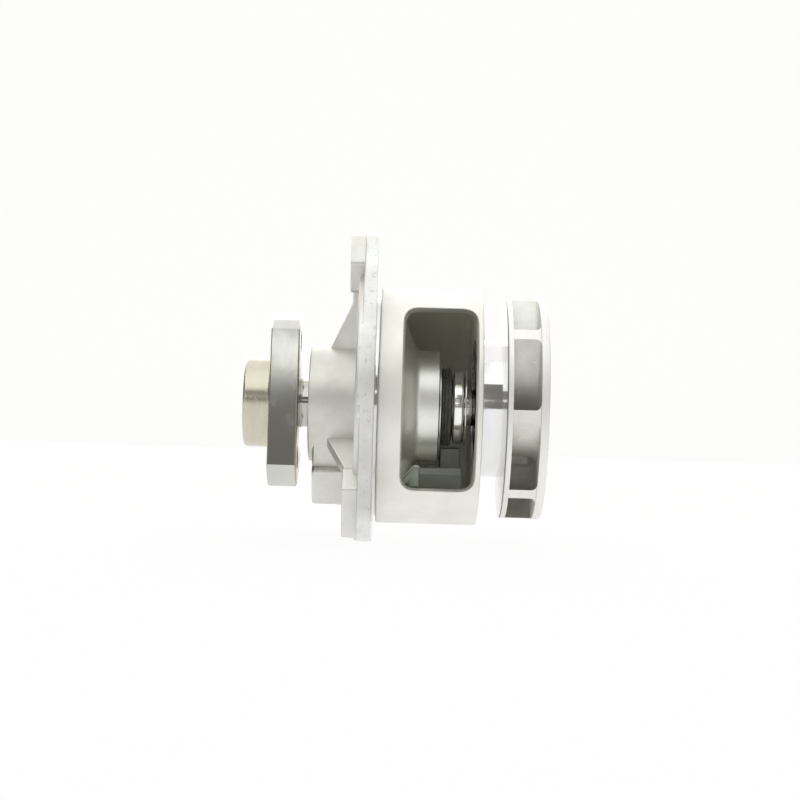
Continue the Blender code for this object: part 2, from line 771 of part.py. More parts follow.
def impeller_shroud():
    inner = NECK_R - NECK_WALL
    body = turned("impeller_shroud", [
        (NECK_FRONT_X, inner),
        (NECK_FRONT_X, NECK_R - 0.0003),
        (NECK_FRONT_X + 0.0003, NECK_R),
        (SHROUD_X - 0.0008, NECK_R),
        (SHROUD_X - 0.0002, NECK_R + 0.0002),
        (SHROUD_X, NECK_R + 0.0008),
        (SHROUD_X, IMPELLER_R - 0.0003),
        (SHROUD_X + 0.0003, IMPELLER_R),
        (SHROUD_X + SHROUD_THICK, IMPELLER_R),
        (SHROUD_X + SHROUD_THICK, inner + 0.0015),
        (SHROUD_X + 0.5 * SHROUD_THICK, inner),
    ], ROUND)
    paint(body, (0.68, 0.68, 0.67), 1.0, 0.15)


def build():
    for obj in list(bpy.data.objects):
        bpy.data.objects.remove(obj)
    pump_housing()
    drain_plug()
    bearing_outer_ring()
    bearing_seal("bearing_seal_front", BEARING_FRONT_X + LIP_SEAL_INSET)
    bearing_seal("bearing_seal_rear", BEARING_BACK_X - LIP_SEAL_INSET - LIP_SEAL_WIDTH)
    ball_row("front", BALL_ROW_FRONT_X)
    ball_row("rear", BALL_ROW_BACK_X)
    pump_shaft()
    drive_hub()
    seal_cup()
    seal_bellows()
    seal_spring()
    seal_carbon_ring()
    seal_mating_ring()
    seal_boot()
    seal_mating_cup()
    seal_slinger()
    impeller_body()
    impeller_shroud()


build()
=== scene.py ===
import math

import bmesh
import bpy
from mathutils import Matrix, Vector


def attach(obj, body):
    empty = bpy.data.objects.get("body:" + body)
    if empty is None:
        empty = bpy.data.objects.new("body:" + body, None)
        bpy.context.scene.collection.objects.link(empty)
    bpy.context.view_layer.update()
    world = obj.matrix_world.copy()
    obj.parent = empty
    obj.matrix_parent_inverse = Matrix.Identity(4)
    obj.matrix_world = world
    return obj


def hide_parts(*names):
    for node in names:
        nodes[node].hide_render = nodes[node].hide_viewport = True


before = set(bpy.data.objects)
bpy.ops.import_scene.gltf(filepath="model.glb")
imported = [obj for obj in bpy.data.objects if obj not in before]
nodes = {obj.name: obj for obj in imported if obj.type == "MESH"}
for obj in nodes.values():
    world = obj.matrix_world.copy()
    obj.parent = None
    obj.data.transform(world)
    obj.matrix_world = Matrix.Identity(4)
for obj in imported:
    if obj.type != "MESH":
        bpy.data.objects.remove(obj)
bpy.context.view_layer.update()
print("frame in place:", len(nodes), "nodes")


# node building: addNode makes every node, and Num is a value socket that takes part in plain maths

def feed(tree, socket, value):
    if isinstance(value, Num):
        value = value.socket
    if isinstance(value, bpy.types.NodeSocket):
        tree.links.new(value, socket)
    else:
        socket.default_value = value


def addNode(tree, kind, settings=None, inputs=None):
    node = tree.nodes.new(kind)
    for key, value in (settings or {}).items():
        setattr(node, key, value)
    for key, value in (inputs or {}).items():
        feed(tree, node.inputs[key], value)
    return node


class Num:
    def __init__(self, finish, socket):
        self.finish = finish
        self.socket = socket

    def math(self, operation, first, second):
        return self.finish.add("ShaderNodeMath", {"operation": operation}, {0: first, 1: second})

    def __add__(self, other):
        return self.math("ADD", self, other)

    def __radd__(self, other):
        return self.math("ADD", other, self)

    def __sub__(self, other):
        return self.math("SUBTRACT", self, other)

    def __rsub__(self, other):
        return self.math("SUBTRACT", other, self)

    def __mul__(self, other):
        return self.math("MULTIPLY", self, other)

    def __rmul__(self, other):
        return self.math("MULTIPLY", other, self)

    def __pow__(self, other):
        return self.math("POWER", self, other)

    def ramp(self, low, high):
        settings = {"interpolation_type": "SMOOTHSTEP", "clamp": True}
        inputs = {"Value": self, "From Min": low, "From Max": high}
        return self.finish.add("ShaderNodeMapRange", settings, inputs, "Result")


class Finish:
    def __init__(self, name):
        self.material = bpy.data.materials.new(name)
        self.material.use_nodes = True
        self.tree = self.material.node_tree
        self.shader = self.tree.nodes["Principled BSDF"]
        self.place = self.add("ShaderNodeTexCoord", out="Object")
        parts = addNode(self.tree, "ShaderNodeSeparateXYZ", {}, {"Vector": self.place}).outputs
        self.x, self.y, self.z = (Num(self, part) for part in parts)
        self.radius = (self.y * self.y + self.z * self.z) ** 0.5

    def add(self, kind, settings=None, inputs=None, out=0):
        return Num(self, addNode(self.tree, kind, settings, inputs).outputs[out])

    def noise(self, scale, detail, rough, vector=None, distortion=0.0):
        inputs = {"Vector": vector or self.place, "Scale": scale, "Detail": detail}
        inputs.update({"Roughness": rough, "Distortion": distortion})
        return self.add("ShaderNodeTexNoise", {}, inputs, "Fac")

    def cells(self, scale):
        inputs = {"Vector": self.place, "Scale": scale}
        return self.add("ShaderNodeTexVoronoi", {"feature": "F1"}, inputs, "Distance")

    def stretched(self, along, around, out):
        # coordinates that run along, out from and round the shaft, for turning lines
        angle = self.add("ShaderNodeMath", {"operation": "ARCTAN2"}, {0: self.z, 1: self.y})
        inputs = {"X": self.x * along, "Y": self.radius * out, "Z": angle * around}
        return self.add("ShaderNodeCombineXYZ", {}, inputs)

    def blend(self, factor, first, second):
        first, second = (color if isinstance(color, Num) else (*color, 1.0) for color in (first, second))
        settings = {"data_type": "RGBA", "clamp_factor": True}
        return self.add("ShaderNodeMix", settings, {"Factor": factor, 6: first, 7: second}, 2)

    def bump(self, height, strength, distance):
        return self.add("ShaderNodeBump", {}, {"Height": height, "Strength": strength, "Distance": distance})

    def set(self, baseColor, metallic, roughness, normal):
        values = {"Base Color": baseColor, "Metallic": metallic, "Roughness": roughness, "Normal": normal}
        for name, value in values.items():
            feed(self.tree, self.shader.inputs[name], value)
        return self.material


castLook = {
    "light": (0.79, 0.783, 0.74), "dark": (0.70, 0.685, 0.643), "stain": (0.46, 0.44, 0.40),
    "roughness": 0.48, "grain": 0.30, "metal": 1.0, "nicks": 0.0,
}
cageLook = dict(castLook, light=(0.93, 0.92, 0.88), dark=(0.88, 0.86, 0.81), stain=(0.82, 0.81, 0.78),
                roughness=0.58, grain=0.16, metal=0.95)
edgeLook = dict(castLook, light=(0.90, 0.91, 0.90), dark=(0.78, 0.78, 0.77), roughness=0.54, grain=0.55, nicks=0.40)
# the chamber inside is painted brighter than the cast skin, painted light in place of the light the chamber gets;
# the window lip keeps the same painted light
insidePaintedLightLook = dict(castLook, light=(0.97, 0.97, 0.90), dark=(0.92, 0.92, 0.85), roughness=0.62, metal=0.70)
lipPaintedLightLook = dict(insidePaintedLightLook, roughness=0.52, metal=1.0)
# the next two looks are painted shade: dark copies of the cast skin for camera-facing faces low in the chamber,
# where little light comes in through the window; the darker one is for the ledge front
stepPaintedShadeLook = dict(castLook, light=(0.29, 0.31, 0.27), dark=(0.24, 0.26, 0.22), stain=(0.22, 0.22, 0.20),
                roughness=0.52)
shadeLook = dict(castLook, light=(0.22, 0.23, 0.20), dark=(0.17, 0.18, 0.15), stain=(0.12, 0.12, 0.10),
                 roughness=0.52)
coneLook = dict(castLook, light=(0.92, 0.92, 0.89), dark=(0.80, 0.80, 0.76), roughness=0.42, grain=0.12)
vaneLook = dict(castLook, light=(0.86, 0.86, 0.82), dark=(0.73, 0.73, 0.69), stain=(0.98, 0.98, 0.95),
                roughness=0.58, grain=0.50, metal=0.85, nicks=0.50)


def castFinish(name, look):
    finish = Finish(name)
    clouds = finish.noise(55.0, 4.0, 0.55)
    skin = finish.noise(420.0, 3.0, 0.6)
    grain = finish.noise(2600.0, 2.0, 0.6)
    pits = finish.cells(900.0).ramp(0.05, 0.22)
    scratch = finish.noise(90.0, 2.0, 0.5, finish.stretched(9.0, 0.12, 9.0)).ramp(0.64, 0.72)
    tone = finish.blend(clouds.ramp(0.35, 0.68), look["light"], look["dark"])
    tone = finish.blend((1.0 - pits) * 0.30, tone, look["stain"])
    nicks = finish.noise(560.0, 4.0, 0.62, distortion=0.5).ramp(0.60, 0.66) * look["nicks"]
    tone = finish.blend(nicks, tone, look["stain"])
    rough = look["roughness"] + (skin - 0.5) * 0.14 + (grain - 0.5) * 0.08 - scratch * 0.06
    height = grain * 0.5 + skin * 0.8 + pits * 0.4 - nicks * 1.6
    normal = finish.bump(height, look["grain"], 0.00012)
    return finish.set(baseColor=tone, metallic=look["metal"], roughness=rough, normal=normal)


def turnedFinish(name, light, dark, roughness, lineScale=900.0, lineDepth=0.10, scuff=0.10, metal=1.0):
    finish = Finish(name)
    lines = finish.noise(lineScale, 2.0, 0.7, finish.stretched(1.0, 0.0006, 1.0))
    broad = finish.noise(lineScale * 0.12, 3.0, 0.6, finish.stretched(1.0, 0.004, 1.0))
    marks = finish.noise(160.0, 4.0, 0.7).ramp(0.55, 0.72)
    spots = finish.noise(700.0, 2.0, 0.5).ramp(0.62, 0.75)
    tone = finish.blend(broad.ramp(0.3, 0.7), light, dark)
    rough = roughness + (broad - 0.5) * 0.10 + marks * scuff + spots * 0.04
    normal = finish.bump(lines, lineDepth, 0.00005)
    return finish.set(baseColor=tone, metallic=metal, roughness=rough, normal=normal)


def rubberFinish(name, color, roughness):
    finish = Finish(name)
    dust = finish.noise(240.0, 4.0, 0.6)
    grain = finish.noise(3800.0, 2.0, 0.5)
    tone = finish.blend(dust.ramp(0.45, 0.8) * 0.6, color, tuple(c * 2.6 + 0.01 for c in color))
    rough = roughness + (dust - 0.5) * 0.2
    normal = finish.bump(grain * 0.6 + dust * 0.4, 0.25, 0.00006)
    return finish.set(baseColor=tone, metallic=0.0, roughness=rough, normal=normal)


def ceramicFinish(name, color, roughness):
    finish = Finish(name)
    fleck = finish.noise(1500.0, 2.0, 0.5)
    cloud = finish.noise(200.0, 3.0, 0.5)
    tone = finish.blend(cloud.ramp(0.3, 0.7) * 0.4, color, tuple(c * 0.72 for c in color))
    normal = finish.bump(fleck, 0.12, 0.00003)
    return finish.set(baseColor=tone, metallic=0.0, roughness=roughness + (fleck - 0.5) * 0.12, normal=normal)


castSkin = castFinish("castSkin", castLook)
cageSatin = castFinish("cageSatin", cageLook)
# painted light: brighter copies of the cast skin for the chamber and the window lip
castInsidePaintedLight = castFinish("castInsidePaintedLight", insidePaintedLightLook)
flangeRim = castFinish("flangeRim", edgeLook)
castLipPaintedLight = castFinish("castLipPaintedLight", lipPaintedLightLook)
# painted shade for camera-facing faces low in the chamber
castStepPaintedShade = castFinish("castStepPaintedShade", stepPaintedShadeLook)
castShade = castFinish("castShade", shadeLook)
coneTurned = castFinish("coneTurned", coneLook)
machinedFace = turnedFinish("machinedFace", (0.80, 0.80, 0.79), (0.70, 0.70, 0.69), 0.12, 1400.0, 0.06)
hubSteel = turnedFinish("hubSteel", (0.66, 0.62, 0.52), (0.59, 0.55, 0.45), 0.24, 1100.0, 0.08)
hubFlat = turnedFinish("hubFlat", (0.66, 0.66, 0.63), (0.60, 0.60, 0.57), 0.085, 700.0, 0.012, 0.05)
shaftSteel = turnedFinish("shaftSteel", (0.54, 0.53, 0.49), (0.47, 0.46, 0.42), 0.06, 1800.0, 0.03, 0.05)
bearingSteel = turnedFinish("bearingSteel", (0.66, 0.66, 0.66), (0.54, 0.54, 0.54), 0.20)
ballSteel = turnedFinish("ballSteel", (0.80, 0.80, 0.80), (0.74, 0.74, 0.74), 0.06, 600.0, 0.01, 0.02)
platedSteel = turnedFinish("platedSteel", (0.74, 0.73, 0.69), (0.62, 0.60, 0.55), 0.22)
polishedSteel = turnedFinish("polishedSteel", (0.95, 0.95, 0.92), (0.90, 0.89, 0.86), 0.10, 1500.0, 0.02, 0.05)
neckPolish = turnedFinish("neckPolish", (0.84, 0.84, 0.84), (0.76, 0.75, 0.75), 0.07, 900.0, 0.03, 0.12)
neckFace = turnedFinish("neckFace", (0.90, 0.90, 0.90), (0.82, 0.82, 0.82), 0.24, 900.0, 0.03, 0.08)
rimTurned = turnedFinish("rimTurned", (0.93, 0.92, 0.89), (0.86, 0.85, 0.82), 0.55, 1900.0, 0.16, metal=0.88)
# painted dark reflection: a dark edge colour in place of the shaded cage end wall that the rim's front edge reflects
rimEdgePaintedReflection = turnedFinish("rimEdgePaintedReflection", (0.34, 0.35, 0.33), (0.25, 0.26, 0.24), 0.40, 900.0, 0.20)
vaneCast = castFinish("vaneCast", vaneLook)
springSteel = turnedFinish("springSteel", (0.66, 0.66, 0.66), (0.5, 0.5, 0.5), 0.2)
sealRubber = rubberFinish("sealRubber", (0.018, 0.018, 0.018), 0.55)
bellowsRubber = rubberFinish("bellowsRubber", (0.095, 0.098, 0.090), 0.30)
cagePlastic = rubberFinish("cagePlastic", (0.20, 0.15, 0.09), 0.5)
carbonFace = ceramicFinish("carbonFace", (0.05, 0.05, 0.05), 0.35)
ceramicFace = ceramicFinish("ceramicFace", (0.80, 0.78, 0.74), 0.25)
print("finishes made")


# mesh helpers

def take(settings, names):
    return [settings[name] for name in names.split()]


def circlePoint(radius, degrees):
    turn = math.radians(degrees)
    return radius * math.cos(turn), radius * math.sin(turn)


def softCorners(corners, steps=4):
    # each corner is (a, b) or (a, b, radius); a radius rounds it off with a short arc
    points = []
    count = len(corners)
    for index, corner in enumerate(corners):
        here = Vector(corner[:2])
        radius = corner[2] if len(corner) > 2 else 0.0
        if radius <= 0.0:
            points.append(tuple(here))
            continue
        before = Vector(corners[index - 1][:2]) - here
        after = Vector(corners[(index + 1) % count][:2]) - here
        reach = min(radius, 0.49 * before.length, 0.49 * after.length)
        start = here + before.normalized() * reach
        end = here + after.normalized() * reach
        for step in range(steps + 1):
            share = step / steps
            points.append(tuple((1 - share) ** 2 * start + 2 * share * (1 - share) * here + share ** 2 * end))
    return points


def meshPiece(name, shape):
    bmesh.ops.recalc_face_normals(shape, faces=shape.faces)
    mesh = bpy.data.meshes.new(name)
    shape.to_mesh(mesh)
    shape.free()
    piece = bpy.data.objects.new(name, mesh)
    bpy.context.scene.collection.objects.link(piece)
    return piece


def turnedPiece(name, corners, steps=128, arc=4):
    section = softCorners(corners, arc)
    shape = bmesh.new()
    rings = []
    for x, radius in section:
        if radius < 1e-7:
            rings.append([shape.verts.new((x, 0.0, 0.0))])
            continue
        ring = []
        for step in range(steps):
            near, up = circlePoint(radius, 360.0 * step / steps)
            ring.append(shape.verts.new((x, -near, up)))
        rings.append(ring)
    for index, ring in enumerate(rings):
        other = rings[(index + 1) % len(rings)]
        if len(ring) == 1 and len(other) == 1:
            continue
        for step in range(steps):
            after = (step + 1) % steps
            face = [ring[step % len(ring)], ring[after % len(ring)]]
            face += [other[after % len(other)], other[step % len(other)]]
            shape.faces.new(list(dict.fromkeys(face)))
    return meshPiece(name, shape)


def loftedPiece(name, sections):
    shape = bmesh.new()
    rings = [[shape.verts.new(point) for point in section] for section in sections]
    count = len(rings[0])
    for ring, other in zip(rings, rings[1:]):
        for step in range(count):
            after = (step + 1) % count
            shape.faces.new((ring[step], ring[after], other[after], other[step]))
    shape.faces.new(rings[0])
    shape.faces.new(rings[-1])
    return meshPiece(name, shape)


def offsetOutline(points, distance):
    # moves each corner out along the mean of its two edges' normals
    moved = []
    count = len(points)
    for index, point in enumerate(points):
        before = (Vector(point) - Vector(points[index - 1])).normalized()
        after = (Vector(points[(index + 1) % count]) - Vector(point)).normalized()
        normal = Vector((before.y + after.y, -before.x - after.x))
        length = normal.length
        moved.append(tuple(Vector(point) + normal / length * distance * 2.0 / length))
    return moved


def crossPlate(name, outline, levels):
    # a plate across the shaft: levels are (x, offset) from front to back
    sections = []
    for x, offset in levels:
        sections.append([(x, -near, up) for near, up in offsetOutline(outline, offset)])
    return loftedPiece(name, sections)


def sideWall(name, outline, levels):
    # a wall along the shaft: levels are (near, offset)
    sections = []
    for near, offset in levels:
        sections.append([(x, -near, up) for x, up in offsetOutline(outline, offset)])
    return loftedPiece(name, sections)


def drillBit(name, start, end, radius, steps=48, flare=0.0):
    start, end = Vector(start), Vector(end)
    along = (end - start).normalized()
    side = along.orthogonal().normalized()
    other = along.cross(side)
    sections = []
    for point in (start, end):
        ring = []
        for step in range(steps):
            turn = 2.0 * math.pi * step / steps
            ring.append(point + radius * (math.cos(turn) * side + math.sin(turn) * other))
        sections.append(ring)
        radius += flare
    return loftedPiece(name, sections)


def bake(piece, modifier):
    graph = bpy.context.evaluated_depsgraph_get()
    piece.data = bpy.data.meshes.new_from_object(piece.evaluated_get(graph))
    piece.modifiers.remove(modifier)


def combine(piece, other, operation):
    modifier = piece.modifiers.new("combine", "BOOLEAN")
    modifier.operation = operation
    modifier.solver = "EXACT"
    modifier.object = other
    bake(piece, modifier)
    shape = bmesh.new()
    shape.from_mesh(piece.data)
    bmesh.ops.remove_doubles(shape, verts=shape.verts, dist=2e-6)
    shape.to_mesh(piece.data)
    shape.free()
    bpy.data.objects.remove(other)


def cut(piece, *others):
    for other in others:
        combine(piece, other, "DIFFERENCE")


def join(piece, *others):
    for other in others:
        combine(piece, other, "UNION")


sharpFrom = 28.0    # degrees between two faces, past which their edge is sharp


def shade(piece, materials, pick=None):
    mesh = piece.data
    mesh.materials.clear()
    for material in materials:
        mesh.materials.append(material)
    for face in mesh.polygons:
        face.use_smooth = True
        face.material_index = materials.index(pick(face.center, face.normal)) if pick else 0
    mesh.set_sharp_from_angle(angle=math.radians(sharpFrom))
    # large faces keep their own direction beside a small fillet
    modifier = piece.modifiers.new("normals", "WEIGHTED_NORMAL")
    modifier.keep_sharp = True
    bake(piece, modifier)


def place(piece, body, slot, *replaced):
    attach(piece, body)
    if replaced:
        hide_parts(*replaced)


# housing casting

housing = {
    "bossRadius": 0.0192, "bossFront": -0.0216,
    "plate": 0.0044, "rim": 0.0060, "rimWidth": 0.0032, "flangeRadius": 0.0455,
    "earCircle": 0.0468, "earRadius": 0.01073, "padFront": -0.0092, "padInset": 0.0004,
    "earAngles": (79.0, -42.5, 199.0), "holeRadius": 0.0043,
    "ribThick": 0.0040, "ribFront": -0.0152, "ribEar": -0.0084,
    "grooveRadius": 0.0370, "groove": 0.0011,
    "cageRadius": 0.0390, "cageBack": 0.0342, "wall": 0.0040, "endWall": 0.0017, "neckBore": 0.0233,
    "chamberFront": 0.0068, "sealBossRadius": 0.0185, "sealBossRoot": 0.0137, "sealBossBack": 0.0207,
    "bearingBore": 0.0150, "bearingBack": 0.0030, "leakRadius": 0.0110, "sealBoreFront": 0.0080,
    "sealBore": 0.0140,
    "windowFront": 0.0087, "windowBack": 0.0324, "windowTop": 0.0317, "windowBottom": -0.0268,
    "windowCorner": 0.0052,
    "ledgeTop": -0.0203, "ledgeNear": 0.0150, "ledgeFront": 0.0120, "ledgeBack": 0.0288, "ledgeBevel": 0.0016,
    "blockTop": -0.0136, "blockNear": -0.0040, "blockFront": 0.0220, "blockBevel": 0.0004,
    "webTop": -0.0193, "webNear": 0.0235, "webBack": 0.0151,
    "coneBack": 0.0145, "paintedShadeBelow": -0.0130, "paintedShadeFar": 0.0080,    # camera-facing chamber faces below and nearer than these get painted shade
    "drainHeight": -0.0252, "drainFront": -0.0202, "drainBore": 0.0046, "drainBoreBack": 0.0062,
    "drainWebTurn": -36.0, "drainWeb": (0.0089, -0.0206), "drainTop": (0.0106, -0.0222),
    "drainSide": (0.0068, -0.0285), "drainFoot": (0.0020, -0.0334),
    "weepRadius": 0.0015, "weepAt": -0.0130,
}


def outerHull(points):
    ordered = sorted(set(points))
    corners = []
    for run in (ordered, ordered[::-1]):
        chain = []
        for point in run:
            while len(chain) > 1:
                first, second = chain[-2], chain[-1]
                turn = (second[0] - first[0]) * (point[1] - first[1])
                turn -= (second[1] - first[1]) * (point[0] - first[0])
                if turn > 1e-12:
                    break
                chain.pop()
            chain.append(point)
        corners += chain[:-1]
    return corners


def earCenter(degrees):
    return circlePoint(housing["earCircle"], degrees)


def flangeOutline():
    points = [circlePoint(housing["flangeRadius"], 2.0 * step) for step in range(180)]
    for degrees in housing["earAngles"]:
        near, up = earCenter(degrees)
        for step in range(60):
            along, rise = circlePoint(housing["earRadius"], 6.0 * step)
            points.append((near + along, up + rise))
    return outerHull(points)


def flangePlate():
    plate = housing["plate"]
    levels = [(-plate, -0.0007), (-plate + 0.0002, -0.0003), (-plate + 0.0006, -0.0001)]
    levels += [(-0.0022, 0.0), (-0.0005, -0.00008), (-0.00015, -0.0002), (0.0, -0.0004)]
    return crossPlate("flange", flangeOutline(), levels)


def earPad(number, degrees):
    near, up = earCenter(degrees)
    size = housing["earRadius"]
    if number == 1:
        shape = [(0.93, 0.50), (0.28, 1.11), (-0.93, 0.74), (-1.02, -0.56), (-0.06, -0.98)]
    else:
        shape = [circlePoint(1.0, turn) for turn in range(-2, 358, 60)]
    corners = [(near + size * along, up + size * rise, 0.0009) for along, rise in shape]
    outline = softCorners(corners, 3)
    front = housing["padFront"]
    levels = [(front, -0.0006), (front + 0.0002, -0.0002), (front + 0.0005, -0.0001), (-0.002, 0.0002)]
    pad = crossPlate("pad", outline, levels)
    edge = [(front - 0.002, -housing["padInset"]), (0.004, -housing["padInset"])]
    combine(pad, crossPlate("edge", flangeOutline(), edge), "INTERSECT")
    return pad


def earRib(degrees):
    boss = housing["bossRadius"]
    start = housing["earCircle"] - 0.8 * housing["earRadius"]
    side = [
        (-0.0022, boss - 0.002), (-0.0022, start + 0.003), (housing["ribEar"], start + 0.003),
        (housing["ribEar"], start - 0.004), (housing["ribFront"], boss), (housing["ribFront"], boss - 0.002),
    ]
    half = 0.5 * housing["ribThick"]
    levels = [(-half - 0.0003, -0.0007), (-half - 0.0001, -0.0002), (-half + 0.0004, 0.0)]
    levels += [(half - 0.0004, 0.0), (half + 0.0001, -0.0002), (half + 0.0003, -0.0007)]
    rib = sideWall("rib", side, levels)
    rib.data.transform(Matrix.Rotation(math.radians(90.0 - degrees), 4, "X"))
    return rib


def drainBoss():
    # flat-sided boss under the bearing boss, with a web that leaves the boss at a tangent
    web, top, side, foot = take(housing, "drainWeb drainTop drainSide drainFoot")
    half = [(web[0] - 0.0015, web[1] + 0.0010), (*top, 0.0008), (*side, 0.0016), (*foot, 0.0016)]
    outline = softCorners(half + [(-corner[0], *corner[1:]) for corner in reversed(half)], 4)
    front = housing["drainFront"]
    levels = [(front, -0.0007), (front + 0.0002, -0.0003), (front + 0.0007, 0.0), (-0.0022, 0.0002)]
    boss = crossPlate("drainBoss", outline[::-1], levels)
    near, up = circlePoint(0.98 * housing["bossRadius"], housing["drainWebTurn"])
    slope = [(near, up), web, (-web[0], web[1]), (-near, up)]
    join(boss, crossPlate("drainWeb", slope[::-1], levels))
    return boss


def windowCutter():
    # a straight pull from the near side, with draft inside and a soft lip where it meets the cage
    low, high, front, back = take(housing, "windowBottom windowTop windowFront windowBack")
    radius, cage = take(housing, "windowCorner cageRadius")
    box = [(front, low, radius), (back, low, radius), (back, high, radius), (front, high, radius)]
    corners = softCorners(box, 8)
    outline = []
    for index, corner in enumerate(corners):
        after = corners[(index + 1) % len(corners)]
        pieces = max(1, int((Vector(after) - Vector(corner)).length / 0.0012))
        for step in range(pieces):
            outline.append(tuple(Vector(corner).lerp(Vector(after), step / pieces)))
    sections = [[(x, -0.010, up) for x, up in offsetOutline(outline, -0.0022)]]
    for depth, offset in ((0.0007, -0.0001), (0.0003, 0.0), (0.0001, 0.00015), (-0.0001, 0.00045)):
        section = []
        for x, up in offsetOutline(outline, offset):
            section.append((x, -math.sqrt((cage - depth) ** 2 - up * up), up))
        sections.append(section)
    sections.append([(x, -0.060, up) for x, up in offsetOutline(outline, 0.0020)])
    window = loftedPiece("window", sections)
    inner = cage - housing["wall"] - 0.0004
    cut(window, turnedPiece("core", [(-0.01, 0.0), (-0.01, inner), (0.06, inner), (0.06, 0.0)], 144))
    return window


def lowStep(name, top, nearEdge, front, back, bevel):
    # a step cast on the bottom of the chamber, from its far wall to a near edge
    low = housing["cageRadius"] - 0.5 * housing["wall"]
    reach = math.sqrt(low * low - top * top)
    corners = []
    for step in range(25):
        near = -reach + (reach + nearEdge) * step / 24
        corners.append((near, -math.sqrt(low * low - near * near)))
    corners += [(nearEdge, top - bevel), (nearEdge - bevel, top)]
    levels = [(front, -0.0003), (front + 0.0003, 0.0), (back - 0.0003, 0.0), (back, -0.0003)]
    return crossPlate(name, corners, levels)


def chamberLedge():
    # cast floor low in the chamber, a block behind it and a sloping web at its flange end
    top, edge, front, back, bevel = take(housing, "ledgeTop ledgeNear ledgeFront ledgeBack ledgeBevel")
    ledge = lowStep("ledge", top, edge, front, back, bevel)
    top, edge, front, bevel = take(housing, "blockTop blockNear blockFront blockBevel")
    join(ledge, lowStep("block", top, edge, front, back - 0.0001, bevel))
    webTop, webBack, webNear, chamber = take(housing, "webTop webBack webNear chamberFront")
    low = housing["cageRadius"] - 0.5 * housing["wall"]
    foot = -math.sqrt(low * low - webNear * webNear)
    web = softCorners([
        (chamber - 0.001, foot), (webBack, foot), (webBack, webTop, 0.0006),
        (webBack - 0.0020, webTop, 0.0006), (chamber + 0.0030, 0.6 * webTop + 0.4 * foot)], 3)
    levels = [(0.5 * housing["ledgeNear"], 0.0), (webNear - 0.0005, 0.0), (webNear, -0.0004)]
    join(ledge, sideWall("web", web, levels))
    return ledge


def housingSolid():
    flange, rimWidth, rim, plate = take(housing, "flangeRadius rimWidth rim plate")
    cage, back, boss, front = take(housing, "cageRadius cageBack bossRadius bossFront")
    groove, grooveRadius = take(housing, "groove grooveRadius")
    inside, edge = flange - rimWidth, flange - 0.0002
    return turnedPiece("castHousing", [
        (front, 0.0),
        (front, boss, 0.0005),
        (-plate, boss, 0.0022),
        (-plate, inside, 0.0012),
        (-rim, inside + 0.0004, 0.0004),
        (-rim, edge - 0.0001, 0.0009),
        (-0.0001, edge),
        (-0.0001, grooveRadius, 0.0003),
        (groove, grooveRadius, 0.0003),
        (groove, cage, 0.0008),
        (back, cage, 0.0008),
        (back, 0.0),
    ], 144)


def housingCore():
    past = 0.001
    front, bore, shoulder, leak = take(housing, "bossFront bearingBore bearingBack leakRadius")
    seat, seal, back = take(housing, "sealBoreFront sealBore sealBossBack")
    return turnedPiece("core", [
        (front - past, 0.0),
        (front - past, bore + past + 0.0006),
        (front + 0.0006, bore),
        (shoulder, bore),
        (shoulder, leak),
        (seat, leak),
        (seat, seal),
        (back + past, seal),
        (back + past, 0.0),
    ], 96)


def housingChamber():
    cage, wall, back, end, neck = take(housing, "cageRadius wall cageBack endWall neckBore")
    front, boss, root, bossBack = take(housing, "chamberFront sealBossRadius sealBossRoot sealBossBack")
    inner = cage - wall
    return turnedPiece("chamber", [
        (back + 0.001, 0.0),
        (back + 0.001, neck),
        (back - end, neck),
        (back - end, inner, 0.0012),
        (front, inner, 0.0020),
        (root - 0.0016, boss + 0.0026, 0.0012),
        (root, boss, 0.0014),
        (bossBack, boss - 0.0001),
        (bossBack, 0.0),
    ], 144)


def housingFinish(center, normal):
    away = math.hypot(center.y, center.z)
    cage, back, boss, bossBack = take(housing, "cageRadius cageBack sealBossRadius sealBossBack")
    flange, groove, coneBack = take(housing, "flangeRadius groove coneBack")
    if -0.0002 < center.x < groove + 0.0001 and away < flange + 0.02:
        if away < cage - 0.0002 or normal.x > 0.9:
            return machinedFace          # groove and mounting face
    if away < housing["sealBore"] + 0.0002 and center.x < bossBack + 0.0002:
        return machinedFace
    if center.x > back - 0.0020 and away < housing["neckBore"] + 0.0004:
        return machinedFace
    if housing["chamberFront"] - 0.0002 < center.x < back - 0.0002 and away < cage - 0.0015:
        # camera-facing faces low in the chamber, off the seal boss, get painted shade, darker on the ledge front
        offBoss = away > boss + 0.001 or center.x > bossBack + 0.0005
        facing = normal.y < -0.3 and (normal.x < 0.3 or center.x > coneBack + 0.0001)
        if center.z < housing["paintedShadeBelow"] and center.y < housing["paintedShadeFar"] and offBoss and facing:
            onLedge = normal.y < -0.85 and abs(center.y + housing["ledgeNear"]) < 0.0004
            return castShade if onLedge else castStepPaintedShade
        # the window lip and the other chamber faces get painted light
        if away > cage - housing["wall"] + 0.0002:
            return castLipPaintedLight
        onBoss = away < boss + 0.0004 and abs(normal.x) < 0.5
        onCone = normal.x > 0.3 and center.x < coneBack
        return coneTurned if onBoss or onCone else castInsidePaintedLight
    if center.x > -housing["plate"] - 0.0002 and away > flange - 0.0012 and abs(normal.x) < 0.5:
        return flangeRim
    return cageSatin if center.x > groove else castSkin


